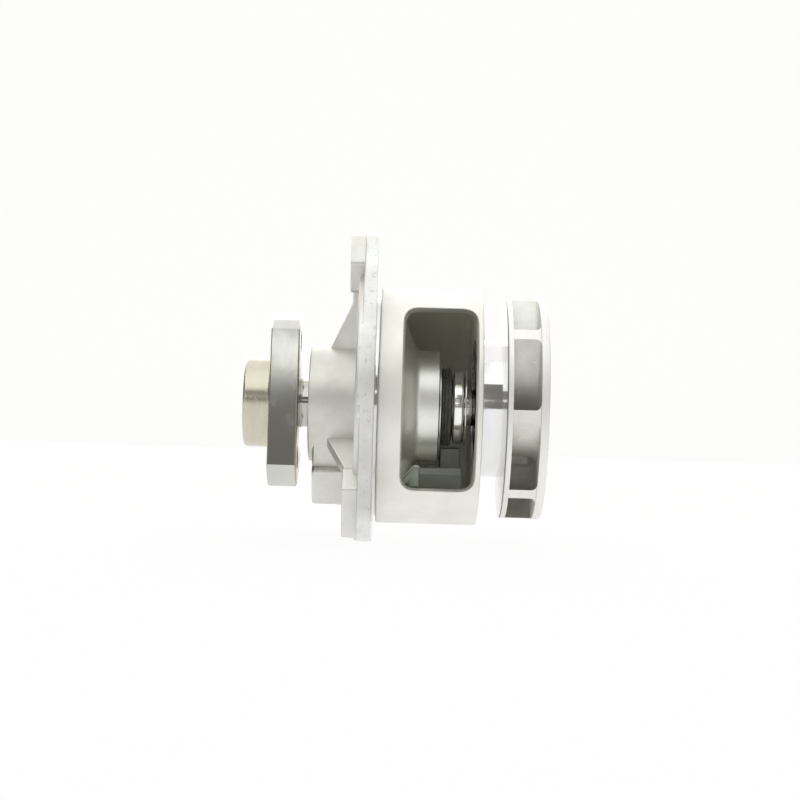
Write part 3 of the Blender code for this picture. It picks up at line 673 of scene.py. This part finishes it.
def castHousing():
    body = housingSolid()
    join(body, flangePlate())
    for number, degrees in enumerate(housing["earAngles"]):
        join(body, earPad(number, degrees), earRib(degrees))
    join(body, drainBoss())
    chamber = housingChamber()
    cut(chamber, chamberLedge())
    cut(body, housingCore(), chamber, windowCutter())
    for degrees in housing["earAngles"]:
        near, up = earCenter(degrees)
        cut(body, drillBit("bolt", (-0.02, -near, up), (0.01, -near, up), housing["holeRadius"]))
    height = housing["drainHeight"]
    cut(body, drillBit("drain", (housing["drainFront"] - 0.001, 0, height), (housing["drainBoreBack"], 0, height),
                       housing["drainBore"]))
    weep = housing["weepAt"]
    cut(body, drillBit("weep", (weep, 0, height), (weep, 0, height - 0.02), housing["weepRadius"], 24))
    shade(body, [castSkin, machinedFace, castInsidePaintedLight, cageSatin, coneTurned, flangeRim, castStepPaintedShade, castShade, castLipPaintedLight],
          housingFinish)
    place(body, "housing", "cast_aluminium", "pump_housing")
    return body


castFaces = castHousing().data.polygons
print("housing cast:", sum(len(face.vertices) - 2 for face in castFaces), "triangles")


# drive hub

hub = {
    "flat": 0.0200, "corner": 0.0298, "turn": 5.5, "front": -0.0343, "back": -0.0248,
    "pilotRadius": 0.0150, "pilotFront": -0.0433, "bore": 0.0083, "holeRadius": 0.0034, "holeCircle": 0.0222,
}


def driveHub():
    front, back, pilot, pilotFront = take(hub, "front back pilotRadius pilotFront")
    half = 60.0 - math.degrees(math.acos(hub["flat"] / hub["corner"]))
    outline = []
    for corner in (60.0, 180.0, 300.0):
        for step in range(17):
            outline.append(circlePoint(hub["corner"], corner + hub["turn"] + half * (step / 8.0 - 1.0)))
    levels = [(front, -0.0006), (front + 0.0002, -0.0002), (front + 0.0005, 0.0)]
    levels += [(back - 0.0005, 0.0), (back - 0.0002, -0.0002), (back, -0.0006)]
    body = crossPlate("driveHub", outline, levels)
    join(body, turnedPiece("pilot", [
        (pilotFront, 0.0),
        (pilotFront, pilot, 0.0014),
        (front - 0.0006, pilot, 0.0004),
        (front - 0.0001, pilot + 0.0005, 0.0002),
        (front + 0.001, pilot + 0.0005),
        (front + 0.001, 0.0),
    ], 128, 6))
    cut(body, drillBit("bore", (pilotFront - 0.01, 0, 0), (back + 0.01, 0, 0), hub["bore"], 96))
    leadStart, leadEnd = (pilotFront + 0.0006, 0, 0), (pilotFront - 0.0006, 0, 0)
    cut(body, drillBit("lead", leadStart, leadEnd, hub["bore"] - 0.0001, 96, 0.0014))
    for number in range(3):
        near, up = circlePoint(hub["holeCircle"], 60.0 + 120.0 * number + hub["turn"])
        cut(body, drillBit("screw", (front - 0.005, -near, up), (back + 0.005, -near, up), hub["holeRadius"]))
        for face, way in ((front, -1), (back, 1)):
            start, end = (face - way * 0.0006, -near, up), (face + way * 0.0006, -near, up)
            cut(body, drillBit("sink", start, end, hub["holeRadius"] - 0.0001, 48, 0.0013))

    def pick(center, normal):
        return hubSteel if center.x < front - 0.0001 or abs(normal.x) > 0.3 else hubFlat

    shade(body, [hubSteel, hubFlat], pick)
    place(body, "rotor", "hub_steel", "drive_hub")


driveHub()
print("hub turned")


# shaft, bearing ends and drain plug

def plainTurned(name, corners, material, body, slot, replaced, steps=96):
    piece = turnedPiece(name, corners, steps)
    shade(piece, [material])
    place(piece, body, slot, replaced)


shaft = {
    "front": -0.0424, "radius": 0.0080, "step": 0.0040, "slimRadius": 0.0060, "back": 0.0545,
    "frontCenter": (0.0016, 0.0020), "backCenter": (0.0014, 0.0015),    # radius and depth of the centre holes
}


def pumpShaft():
    front, step, back, radius, slim = take(shaft, "front step back radius slimRadius")
    (frontHole, frontDepth), (backHole, backDepth) = take(shaft, "frontCenter backCenter")
    plainTurned("pumpShaft", [
        (front + frontDepth, 0.0), (front, frontHole, 0.0002), (front, radius, 0.0010),
        (step, radius, 0.0006), (step, slim),
        (back, slim, 0.0008), (back, backHole, 0.0002), (back - backDepth, 0.0),
    ], shaftSteel, "rotor", "ground_steel", "pump_shaft")


sleeve = {
    "front": -0.0210, "back": 0.0027, "outer": 0.0147, "inner": 0.0120,
    "lipFronts": {"front": -0.0207, "rear": 0.0012}, "lipThick": 0.0012, "lipOuter": 0.0117, "lipInner": 0.0083,
}


def bearingSleeve():
    front, back, outer, inner = take(sleeve, "front back outer inner")
    plainTurned("bearingSleeve", [
        (front, outer, 0.0005), (front, inner, 0.0003), (back, inner, 0.0003), (back, outer, 0.0005),
    ], bearingSteel, "housing", "bearing_steel", "bearing_outer_ring")


def bearingLip(end, start):
    outer, inner, back = sleeve["lipOuter"], sleeve["lipInner"], start + sleeve["lipThick"]
    plainTurned("bearingLip" + end.capitalize(), [
        (start, outer), (start, inner + 0.0015, 0.0003), (start + 0.0005, inner, 0.0002),
        (back, inner + 0.0003, 0.0002), (back, outer),
    ], sealRubber, "housing", "seal_rubber", "bearing_seal_" + end)


plug = {"front": -0.0197, "radius": 0.0043, "length": 0.0040, "sheet": 0.0008, "dishRadius": 0.0030, "dish": 0.0010}


def drainPlug():
    front, radius, dish, sheet = take(plug, "front radius dishRadius sheet")
    bottom, back, inner = front + plug["dish"], front + plug["length"], radius - sheet
    body = turnedPiece("drainPlug", [
        (bottom, 0.0), (bottom, dish, 0.0006), (front, dish + 0.0004, 0.0004), (front, radius, 0.0006),
        (back, radius), (back, inner), (bottom + sheet, inner), (bottom + sheet, 0.0),
    ], 64)
    body.data.transform(Matrix.Translation((0.0, 0.0, housing["drainHeight"])))
    shade(body, [platedSteel])
    place(body, "housing", "plated_steel", "drain_plug")


pumpShaft()
bearingSleeve()
for end, start in sleeve["lipFronts"].items():
    bearingLip(end, start)
drainPlug()
print("shaft and bearing ends turned")


# face seal

sealStack = {
    "cupFront": 0.0115, "cupBack": 0.0210, "sheet": 0.0006, "cupRadius": 0.0137, "lipRadius": 0.0156,
    "bellowsFront": 0.0218, "bellowsBack": 0.0250, "bellowsRadius": 0.0131, "ribs": 3, "ribDepth": 0.0006,
    "carbonRadius": 0.0110, "carbonBack": 0.0253, "carbonThick": 0.0022, "carbonBore": 0.0073,
    "matingCupRadius": 0.0122, "matingCupBack": 0.0292, "matingCupWall": 0.0007, "matingBore": 0.0063,
    "slingerFront": 0.0295, "slingerThick": 0.0005, "slingerRadius": 0.0128,
    "ringFront": 0.0256, "ringBack": 0.0274, "ringRadius": 0.0100, "ringBore": 0.0069,
    "bootFront": 0.0259, "bootBack": 0.0282, "bootWall": 0.0009, "bootEnd": 0.0005,
    "cupBore": 0.0075, "bellowsNose": 0.0124, "bellowsBore": 0.0072, "bellowsSleeve": 0.0084,
}


def sealCup():
    front, back, outer, sheet, lip, bore = take(sealStack, "cupFront cupBack cupRadius sheet lipRadius cupBore")
    plainTurned("sealCup", [
        (front, bore), (front, outer, 0.0012), (back, outer, 0.0002), (back, lip, 0.0002),
        (back + sheet, lip, 0.0002), (back + sheet, outer - sheet, 0.0010),
        (front + sheet, outer - sheet, 0.0006), (front + sheet, bore),
    ], platedSteel, "housing", "plated_steel", "seal_cup")


def sealBellows():
    front, back, outer = take(sealStack, "bellowsFront bellowsBack bellowsRadius")
    nose, bore, tube = take(sealStack, "bellowsNose bellowsBore bellowsSleeve")
    valley = outer - sealStack["ribDepth"]
    corners = [(nose, bore), (nose, tube), (front - 0.0010, tube, 0.0006)]
    pitch = (back - front) / sealStack["ribs"]
    for rib in range(sealStack["ribs"]):
        start = front + rib * pitch
        corners += [(start, valley, 0.0002), (start + 0.22 * pitch, outer, 0.0003)]
        corners += [(start + 0.68 * pitch, outer, 0.0003), (start + 0.88 * pitch, valley, 0.0002)]
    seat = sealStack["carbonBack"] - sealStack["carbonThick"] - 0.0003
    pocket = sealStack["carbonRadius"] + 0.0003
    corners += [(back, valley, 0.0002), (back, pocket), (seat, pocket), (seat, bore)]
    plainTurned("sealBellows", corners, bellowsRubber, "housing", "bellows_rubber", "seal_bellows", 128)


def matingCup():
    back, outer, bore, wall = take(sealStack, "matingCupBack matingCupRadius matingBore matingCupWall")
    front = sealStack["carbonBack"] + 0.0006
    plainTurned("matingCup", [
        (front, outer - wall, 0.0001), (front, outer, 0.0003), (back, outer, 0.0009), (back, bore),
        (back - wall, bore), (back - wall, outer - wall, 0.0005),
    ], polishedSteel, "rotor", "polished_steel", "seal_mating_cup", 128)


def sealSlinger():
    front, outer, bore = take(sealStack, "slingerFront slingerRadius matingBore")
    back = front + sealStack["slingerThick"]
    plainTurned("sealSlinger", [
        (front, bore), (front, outer, 0.0002), (back, outer, 0.0002), (back, bore),
    ], polishedSteel, "rotor", "polished_steel", "seal_slinger", 128)


def carbonRing():
    back, outer, bore = take(sealStack, "carbonBack carbonRadius carbonBore")
    front = back - sealStack["carbonThick"]
    plainTurned("carbonRing", [
        (front, bore), (front, outer, 0.0003), (back, outer, 0.0003), (back, bore, 0.0002),
    ], carbonFace, "housing", "carbon", "seal_carbon_ring")


def matingRing():
    front, back, outer, bore = take(sealStack, "ringFront ringBack ringRadius ringBore")
    plainTurned("matingRing", [
        (front, bore, 0.0002), (front, outer, 0.0003), (back, outer, 0.0003), (back, bore, 0.0002),
    ], ceramicFace, "rotor", "ceramic", "seal_mating_ring")


def ringBoot():
    front, back, bore = take(sealStack, "bootFront bootBack matingBore")
    inner, end = sealStack["ringRadius"] + 0.0003, back - sealStack["bootEnd"]
    outer = inner + sealStack["bootWall"]
    plainTurned("ringBoot", [
        (front, inner, 0.0002), (front, outer, 0.0002), (back, outer, 0.0004), (back, bore),
        (end, bore), (end, inner, 0.0002),
    ], sealRubber, "rotor", "seal_rubber", "seal_boot")


sealCup()
sealBellows()
matingCup()
sealSlinger()
carbonRing()
matingRing()
ringBoot()
print("seal stacked")


# node trees for what repeats: vanes round the impeller, balls round the bearing, turns of the spring

def nodeTree(name, numbers):
    tree = bpy.data.node_groups.new(name, "GeometryNodeTree")
    tree.interface.new_socket("Geometry", in_out="INPUT", socket_type="NodeSocketGeometry")
    names = {}
    for key, value in numbers.items():
        kind = "NodeSocketInt" if isinstance(value, int) else "NodeSocketFloat"
        names[key] = tree.interface.new_socket(key, in_out="INPUT", socket_type=kind).identifier
    look = tree.interface.new_socket("Finish", in_out="INPUT", socket_type="NodeSocketMaterial")
    names["Finish"] = look.identifier
    tree.interface.new_socket("Geometry", in_out="OUTPUT", socket_type="NodeSocketGeometry")
    return tree, names


def finishTree(tree, source, geometry):
    whole = addNode(tree, "GeometryNodeRealizeInstances", {}, {"Geometry": geometry})
    dressed = addNode(tree, "GeometryNodeSetMaterial", {}, {
        "Geometry": whole.outputs[0], "Material": source.outputs["Finish"]})
    addNode(tree, "NodeGroupOutput", {}, {"Geometry": dressed.outputs[0]})


def growPiece(piece, tree, names, numbers, material):
    modifier = piece.modifiers.new("grow", "NODES")
    modifier.node_group = tree
    for key, value in numbers.items():
        modifier[names[key]] = value
    modifier[names["Finish"]] = material
    bake(piece, modifier)


def copyRound(piece, count, material):
    # copies the piece evenly round the shaft
    numbers = {"Count": count, "Start": 0.0}
    tree, names = nodeTree("copyRound", numbers)
    source = addNode(tree, "NodeGroupInput")
    points = addNode(tree, "GeometryNodePoints", {}, {"Count": source.outputs["Count"]})
    number = addNode(tree, "GeometryNodeInputIndex")
    step = addNode(tree, "ShaderNodeMath", {"operation": "DIVIDE"}, {0: math.tau, 1: source.outputs["Count"]})
    turn = addNode(tree, "ShaderNodeMath", {"operation": "MULTIPLY_ADD"}, {
        0: number.outputs[0], 1: step.outputs[0], 2: source.outputs["Start"]})
    spin = addNode(tree, "ShaderNodeCombineXYZ", {}, {"X": turn.outputs[0]})
    copies = addNode(tree, "GeometryNodeInstanceOnPoints", {}, {
        "Points": points.outputs[0], "Instance": source.outputs["Geometry"], "Rotation": spin.outputs[0]})
    finishTree(tree, source, copies.outputs[0])
    growPiece(piece, tree, names, numbers, material)


# impeller

impeller = {
    "radius": 0.0363, "shroudFront": 0.0418, "shroudThick": 0.0020, "neckRadius": 0.0228, "neckWall": 0.0020,
    "neckFront": 0.0331, "discFront": 0.0526, "discThick": 0.0027, "hubRadius": 0.0105, "bore": 0.0063,
    "vanes": 8, "vaneRoot": 0.0185, "vaneThick": 0.0029, "tipAngle": -3.4, "sweep": -46.0, "fillet": 0.0018,
    "vaneLean": 45.0, "vaneTaper": 0.35, "vaneNose": (1.0, 0.82, 0.45),
}


def vaneOutline(extra):
    inside, outside = [], []
    steps = 28
    for step in range(steps + 1):
        share = step / steps
        radius = impeller["radius"] - 0.00012 + (impeller["vaneRoot"] - impeller["radius"]) * share
        degrees = impeller["tipAngle"] + impeller["sweep"] * share
        thick = 0.5 * impeller["vaneThick"] * (1.0 - impeller["vaneTaper"] * share) + extra
        if step > steps - 3:
            thick *= impeller["vaneNose"][step - steps + 2]
        half = math.degrees(thick / radius) / math.cos(math.radians(impeller["vaneLean"]))
        inside.append(circlePoint(radius, degrees - half))
        outside.append(circlePoint(radius, degrees + half))
    return inside + outside[::-1]


def vaneRing():
    front = impeller["shroudFront"] + impeller["shroudThick"] - 0.0002
    disc, fillet = impeller["discFront"], impeller["fillet"]
    levels = [(front, 0.0), (disc - fillet, 0.0)]
    for step in range(1, 6):
        turn = 0.5 * math.pi * step / 5
        levels.append((disc - fillet + fillet * math.sin(turn), fillet * (1.0 - math.cos(turn)) * 0.95))
    levels.append((disc + 0.0008, fillet * 0.95))
    sections = []
    for x, extra in levels:
        sections.append([(x, -near, up) for near, up in vaneOutline(extra)])
    vanes = loftedPiece("impellerVanes", sections)
    copyRound(vanes, impeller["vanes"], vaneCast)

    def pick(center, normal):
        return rimTurned if math.hypot(center.y, center.z) > impeller["radius"] - 0.0004 else vaneCast

    shade(vanes, [vaneCast, rimTurned], pick)
    place(vanes, "rotor", "impeller_aluminium")


def impellerDisc():
    front, thick, outer, hubRadius, bore = take(impeller, "discFront discThick radius hubRadius bore")
    back = front + thick
    body = turnedPiece("impellerDisc", [
        (back, bore), (front - 0.0081, bore), (front - 0.0081, hubRadius - 0.0015, 0.0008),
        (front - 0.0050, hubRadius, 0.0020), (front, hubRadius + 0.0040, 0.0040),
        (front, outer, 0.0002), (back, outer, 0.0006), (back, hubRadius + 0.0040, 0.0003),
        (back - 0.0004, hubRadius + 0.0036, 0.0003), (back - 0.0004, bore + 0.0010),
    ], 160)

    def pick(center, normal):
        return vaneCast if center.x < front + 0.0001 and normal.x < 0.3 else rimTurned

    shade(body, [rimTurned, vaneCast], pick)
    place(body, "rotor", "impeller_aluminium", "impeller_body")


def impellerShroud():
    front, thick, outer = take(impeller, "shroudFront shroudThick radius")
    neck, wall, nose = take(impeller, "neckRadius neckWall neckFront")
    inner = neck - wall
    body = turnedPiece("impellerShroud", [
        (nose, inner, 0.0004), (nose, neck - 0.0002, 0.0002),
        (nose + 0.0016, neck - 0.0002, 0.0001), (nose + 0.0018, neck, 0.0001),
        (front, neck), (front, outer, 0.0007), (front + thick, outer, 0.00015),
        (front + thick, inner + 0.0015, 0.0010), (front + 0.5 * thick, inner, 0.0010),
    ], 160)

    def pick(center, normal):
        away = math.hypot(center.y, center.z)
        if center.x > front + thick - 0.0001 and normal.x > 0.5:
            return vaneCast
        # the rim's front edge gets a painted dark reflection
        if away > outer - 0.0009 and -0.97 < normal.x < -0.25:
            return rimEdgePaintedReflection
        if normal.x < -0.97 and away > neck + 0.0002:
            return neckFace
        return neckPolish if center.x < front + 0.0001 and away < neck + 0.0002 else rimTurned

    shade(body, [neckPolish, rimTurned, vaneCast, rimEdgePaintedReflection, neckFace], pick)
    place(body, "rotor", "polished_aluminium", "impeller_shroud")


vaneRing()
impellerDisc()
impellerShroud()
print("impeller made")


# bearing balls, cages and seal spring, hidden inside but finished

bearing = {"ballRadius": 0.0026, "pitch": 0.0104, "balls": 7, "front": -0.0160, "rear": -0.0023}


def ballRing(name, at):
    shape = bmesh.new()
    bmesh.ops.create_icosphere(shape, subdivisions=3, radius=bearing["ballRadius"])
    bmesh.ops.translate(shape, verts=shape.verts, vec=(at, -bearing["pitch"], 0.0))
    ring = meshPiece("ballRing" + name.capitalize(), shape)
    copyRound(ring, bearing["balls"], ballSteel)
    shade(ring, [ballSteel])
    balls = ["ball_%s_%d" % (name, number + 1) for number in range(bearing["balls"])]
    place(ring, "ball_train_" + name, "ball_steel", *balls)


ballRing("front", bearing["front"])
ballRing("rear", bearing["rear"])

spring = {"Radius": 0.0107, "Wire": 0.0007, "Turns": 3.4, "Start": 0.0133, "Length": 0.0063}


def sealSpring():
    tree, names = nodeTree("springCoil", spring)
    source = addNode(tree, "NodeGroupInput")
    path = addNode(tree, "GeometryNodeCurveSpiral", {}, {
        "Resolution": 40, "Rotations": source.outputs["Turns"], "Start Radius": source.outputs["Radius"],
        "End Radius": source.outputs["Radius"], "Height": source.outputs["Length"]})
    wire = addNode(tree, "GeometryNodeCurvePrimitiveCircle", {}, {
        "Resolution": 12, "Radius": source.outputs["Wire"]})
    coil = addNode(tree, "GeometryNodeCurveToMesh", {}, {
        "Curve": path.outputs[0], "Profile Curve": wire.outputs[0], "Fill Caps": True})
    shift = addNode(tree, "ShaderNodeCombineXYZ", {}, {"X": source.outputs["Start"]})
    laid = addNode(tree, "GeometryNodeTransform", {}, {
        "Geometry": coil.outputs[0], "Rotation": (0.0, 0.5 * math.pi, 0.0), "Translation": shift.outputs[0]})
    finishTree(tree, source, laid.outputs[0])
    coilPiece = bpy.data.objects.new("sealSpring", bpy.data.meshes.new("sealSpring"))
    bpy.context.scene.collection.objects.link(coilPiece)
    growPiece(coilPiece, tree, names, spring, springSteel)
    shade(coilPiece, [springSteel])
    place(coilPiece, "housing", "spring_steel", "seal_spring")


sealSpring()
for name in ("ball_cage_front", "ball_cage_rear"):
    nodes[name].data.materials.clear()
    nodes[name].data.materials.append(cagePlastic)
print("bearing and spring made")


# studio: pale floor and backdrop, a grey room, soft lamps and the photo's camera

studio = {
    "floor": -0.0456, "floorColor": (1.0, 0.92, 0.76), "floorRough": 0.9, "floorReach": 8.0,
    "backdropAt": 1.05, "backdropHeight": 1.2, "shadowKept": 0.06, "shadowGrey": (0.95, 0.95, 0.95),
    "roomGrey": (0.20, 0.195, 0.18),
    "cameraAt": (0.0081, -0.600, 0.0019), "roll": 1.75, "lens": 81.0,
}
# each lamp: where it stands, what it faces, its width and height, brightness and colour
lamps = {
    "frontSoftbox": ((-0.42, -0.76, 0.80), (-0.42, -0.76, 0.0), (0.96, 1.30), 1.20, (0.97, 1.0, 0.98)),
    "frontSoftboxRight": ((0.435, -0.52, 0.80), (0.435, -0.52, 0.0), (0.73, 0.82), 1.25, (0.97, 1.0, 0.98)),
    "leftSoftbox": ((-0.50, -0.80, 0.04), (0.0, 0.0, 0.0), (0.60, 0.70), 0.25, (1.0, 0.99, 0.96)),
    "rightSoftbox": ((0.62, -0.70, 0.14), (0.0, 0.0, 0.0), (0.70, 0.80), 0.40, (1.0, 0.99, 0.96)),
    "frontStrip": ((-0.407, -1.0, 0.235), (-0.407, 0.0, 0.0), (0.966, 0.045), 1.25, (0.97, 1.0, 0.97)),
    "ringStrip": ((0.0585, -0.99, 0.26), (0.03, 0.0, 0.0), (0.014, 0.42), 1.10, (1.0, 1.0, 1.0)),
    "overheadSoftbox": ((0.0, 0.43, 0.80), (0.0, 0.43, 0.0), (1.6, 1.10), 1.0, (1.0, 1.0, 1.0)),
    "backSoftbox": ((0.0, 1.0, 0.36), (0.0, 0.0, 0.36), (1.8, 0.93), 0.98, (1.0, 1.0, 1.0)),
}


def palePaper():
    # white to the camera, in mirrors and through glass, with a faint shadow kept
    material = bpy.data.materials.new("paleFloor")
    material.use_nodes = True
    tree = material.node_tree
    paper = tree.nodes["Principled BSDF"]
    feed(tree, paper.inputs["Base Color"], (*studio["floorColor"], 1.0))
    feed(tree, paper.inputs["Roughness"], studio["floorRough"])
    light = addNode(tree, "ShaderNodeLightPath").outputs
    seen = light["Is Camera Ray"]
    for kind in ("Is Glossy Ray", "Is Transmission Ray"):
        seen = addNode(tree, "ShaderNodeMath", {"operation": "MAXIMUM"}, {0: seen, 1: light[kind]}).outputs[0]
    shadow = addNode(tree, "ShaderNodeBsdfDiffuse", {}, {"Color": (*studio["shadowGrey"], 1.0)}).outputs[0]
    glow = addNode(tree, "ShaderNodeEmission").outputs[0]
    white = addNode(tree, "ShaderNodeMixShader", {}, {0: 1.0 - studio["shadowKept"], 1: shadow, 2: glow})
    whole = addNode(tree, "ShaderNodeMixShader", {}, {0: seen, 1: paper.outputs[0], 2: white.outputs[0]})
    feed(tree, tree.nodes["Material Output"].inputs["Surface"], whole.outputs[0])
    return material


def paleFloor():
    low, reach, back, height = take(studio, "floor floorReach backdropAt backdropHeight")
    sheets = {
        "studioFloor": ((-reach, -reach, low), (reach, -reach, low), (reach, reach, low), (-reach, reach, low)),
        "studioBackdrop": ((-reach, back, low), (reach, back, low), (reach, back, height), (-reach, back, height)),
    }
    material = palePaper()
    for name, corners in sheets.items():
        shape = bmesh.new()
        shape.faces.new([shape.verts.new(corner) for corner in corners])
        sheet = meshPiece(name, shape)
        sheet.data.materials.append(material)


def softLamp(name, at, toward, size, brightness, color):
    data = bpy.data.lights.new(name, "AREA")
    data.shape = "RECTANGLE"
    data.size, data.size_y = size
    data.energy = math.pi * size[0] * size[1] * brightness
    data.color = color
    lamp = bpy.data.objects.new(name, data)
    lamp.location = at
    lamp.rotation_mode = "QUATERNION"
    lamp.rotation_quaternion = (Vector(toward) - Vector(at)).to_track_quat("-Z", "Y")
    lamp.visible_camera = False
    bpy.context.scene.collection.objects.link(lamp)


def room():
    world = bpy.data.worlds.new("room")
    bpy.context.scene.world = world
    world.use_nodes = True
    tree = world.node_tree
    feed(tree, tree.nodes["Background"].inputs["Color"], (*studio["roomGrey"], 1.0))


def photoCamera():
    data = bpy.data.cameras.new("photoCamera")
    data.sensor_width = 36.0
    data.lens = studio["lens"]
    data.clip_start = 0.01
    camera = bpy.data.objects.new("photoCamera", data)
    turn = math.radians(studio["roll"])
    right = Vector((math.cos(turn), 0.0, math.sin(turn)))
    up = Vector((-math.sin(turn), 0.0, math.cos(turn)))
    back = right.cross(up)
    camera.matrix_world = Matrix((
        (right.x, up.x, back.x, studio["cameraAt"][0]),
        (right.y, up.y, back.y, studio["cameraAt"][1]),
        (right.z, up.z, back.z, studio["cameraAt"][2]),
        (0.0, 0.0, 0.0, 1.0)))
    bpy.context.scene.collection.objects.link(camera)
    bpy.context.scene.camera = camera


paleFloor()
room()
for name, settings in lamps.items():
    softLamp(name, *settings)
photoCamera()
bpy.context.scene.view_settings.view_transform = "Standard"
print("studio lit")
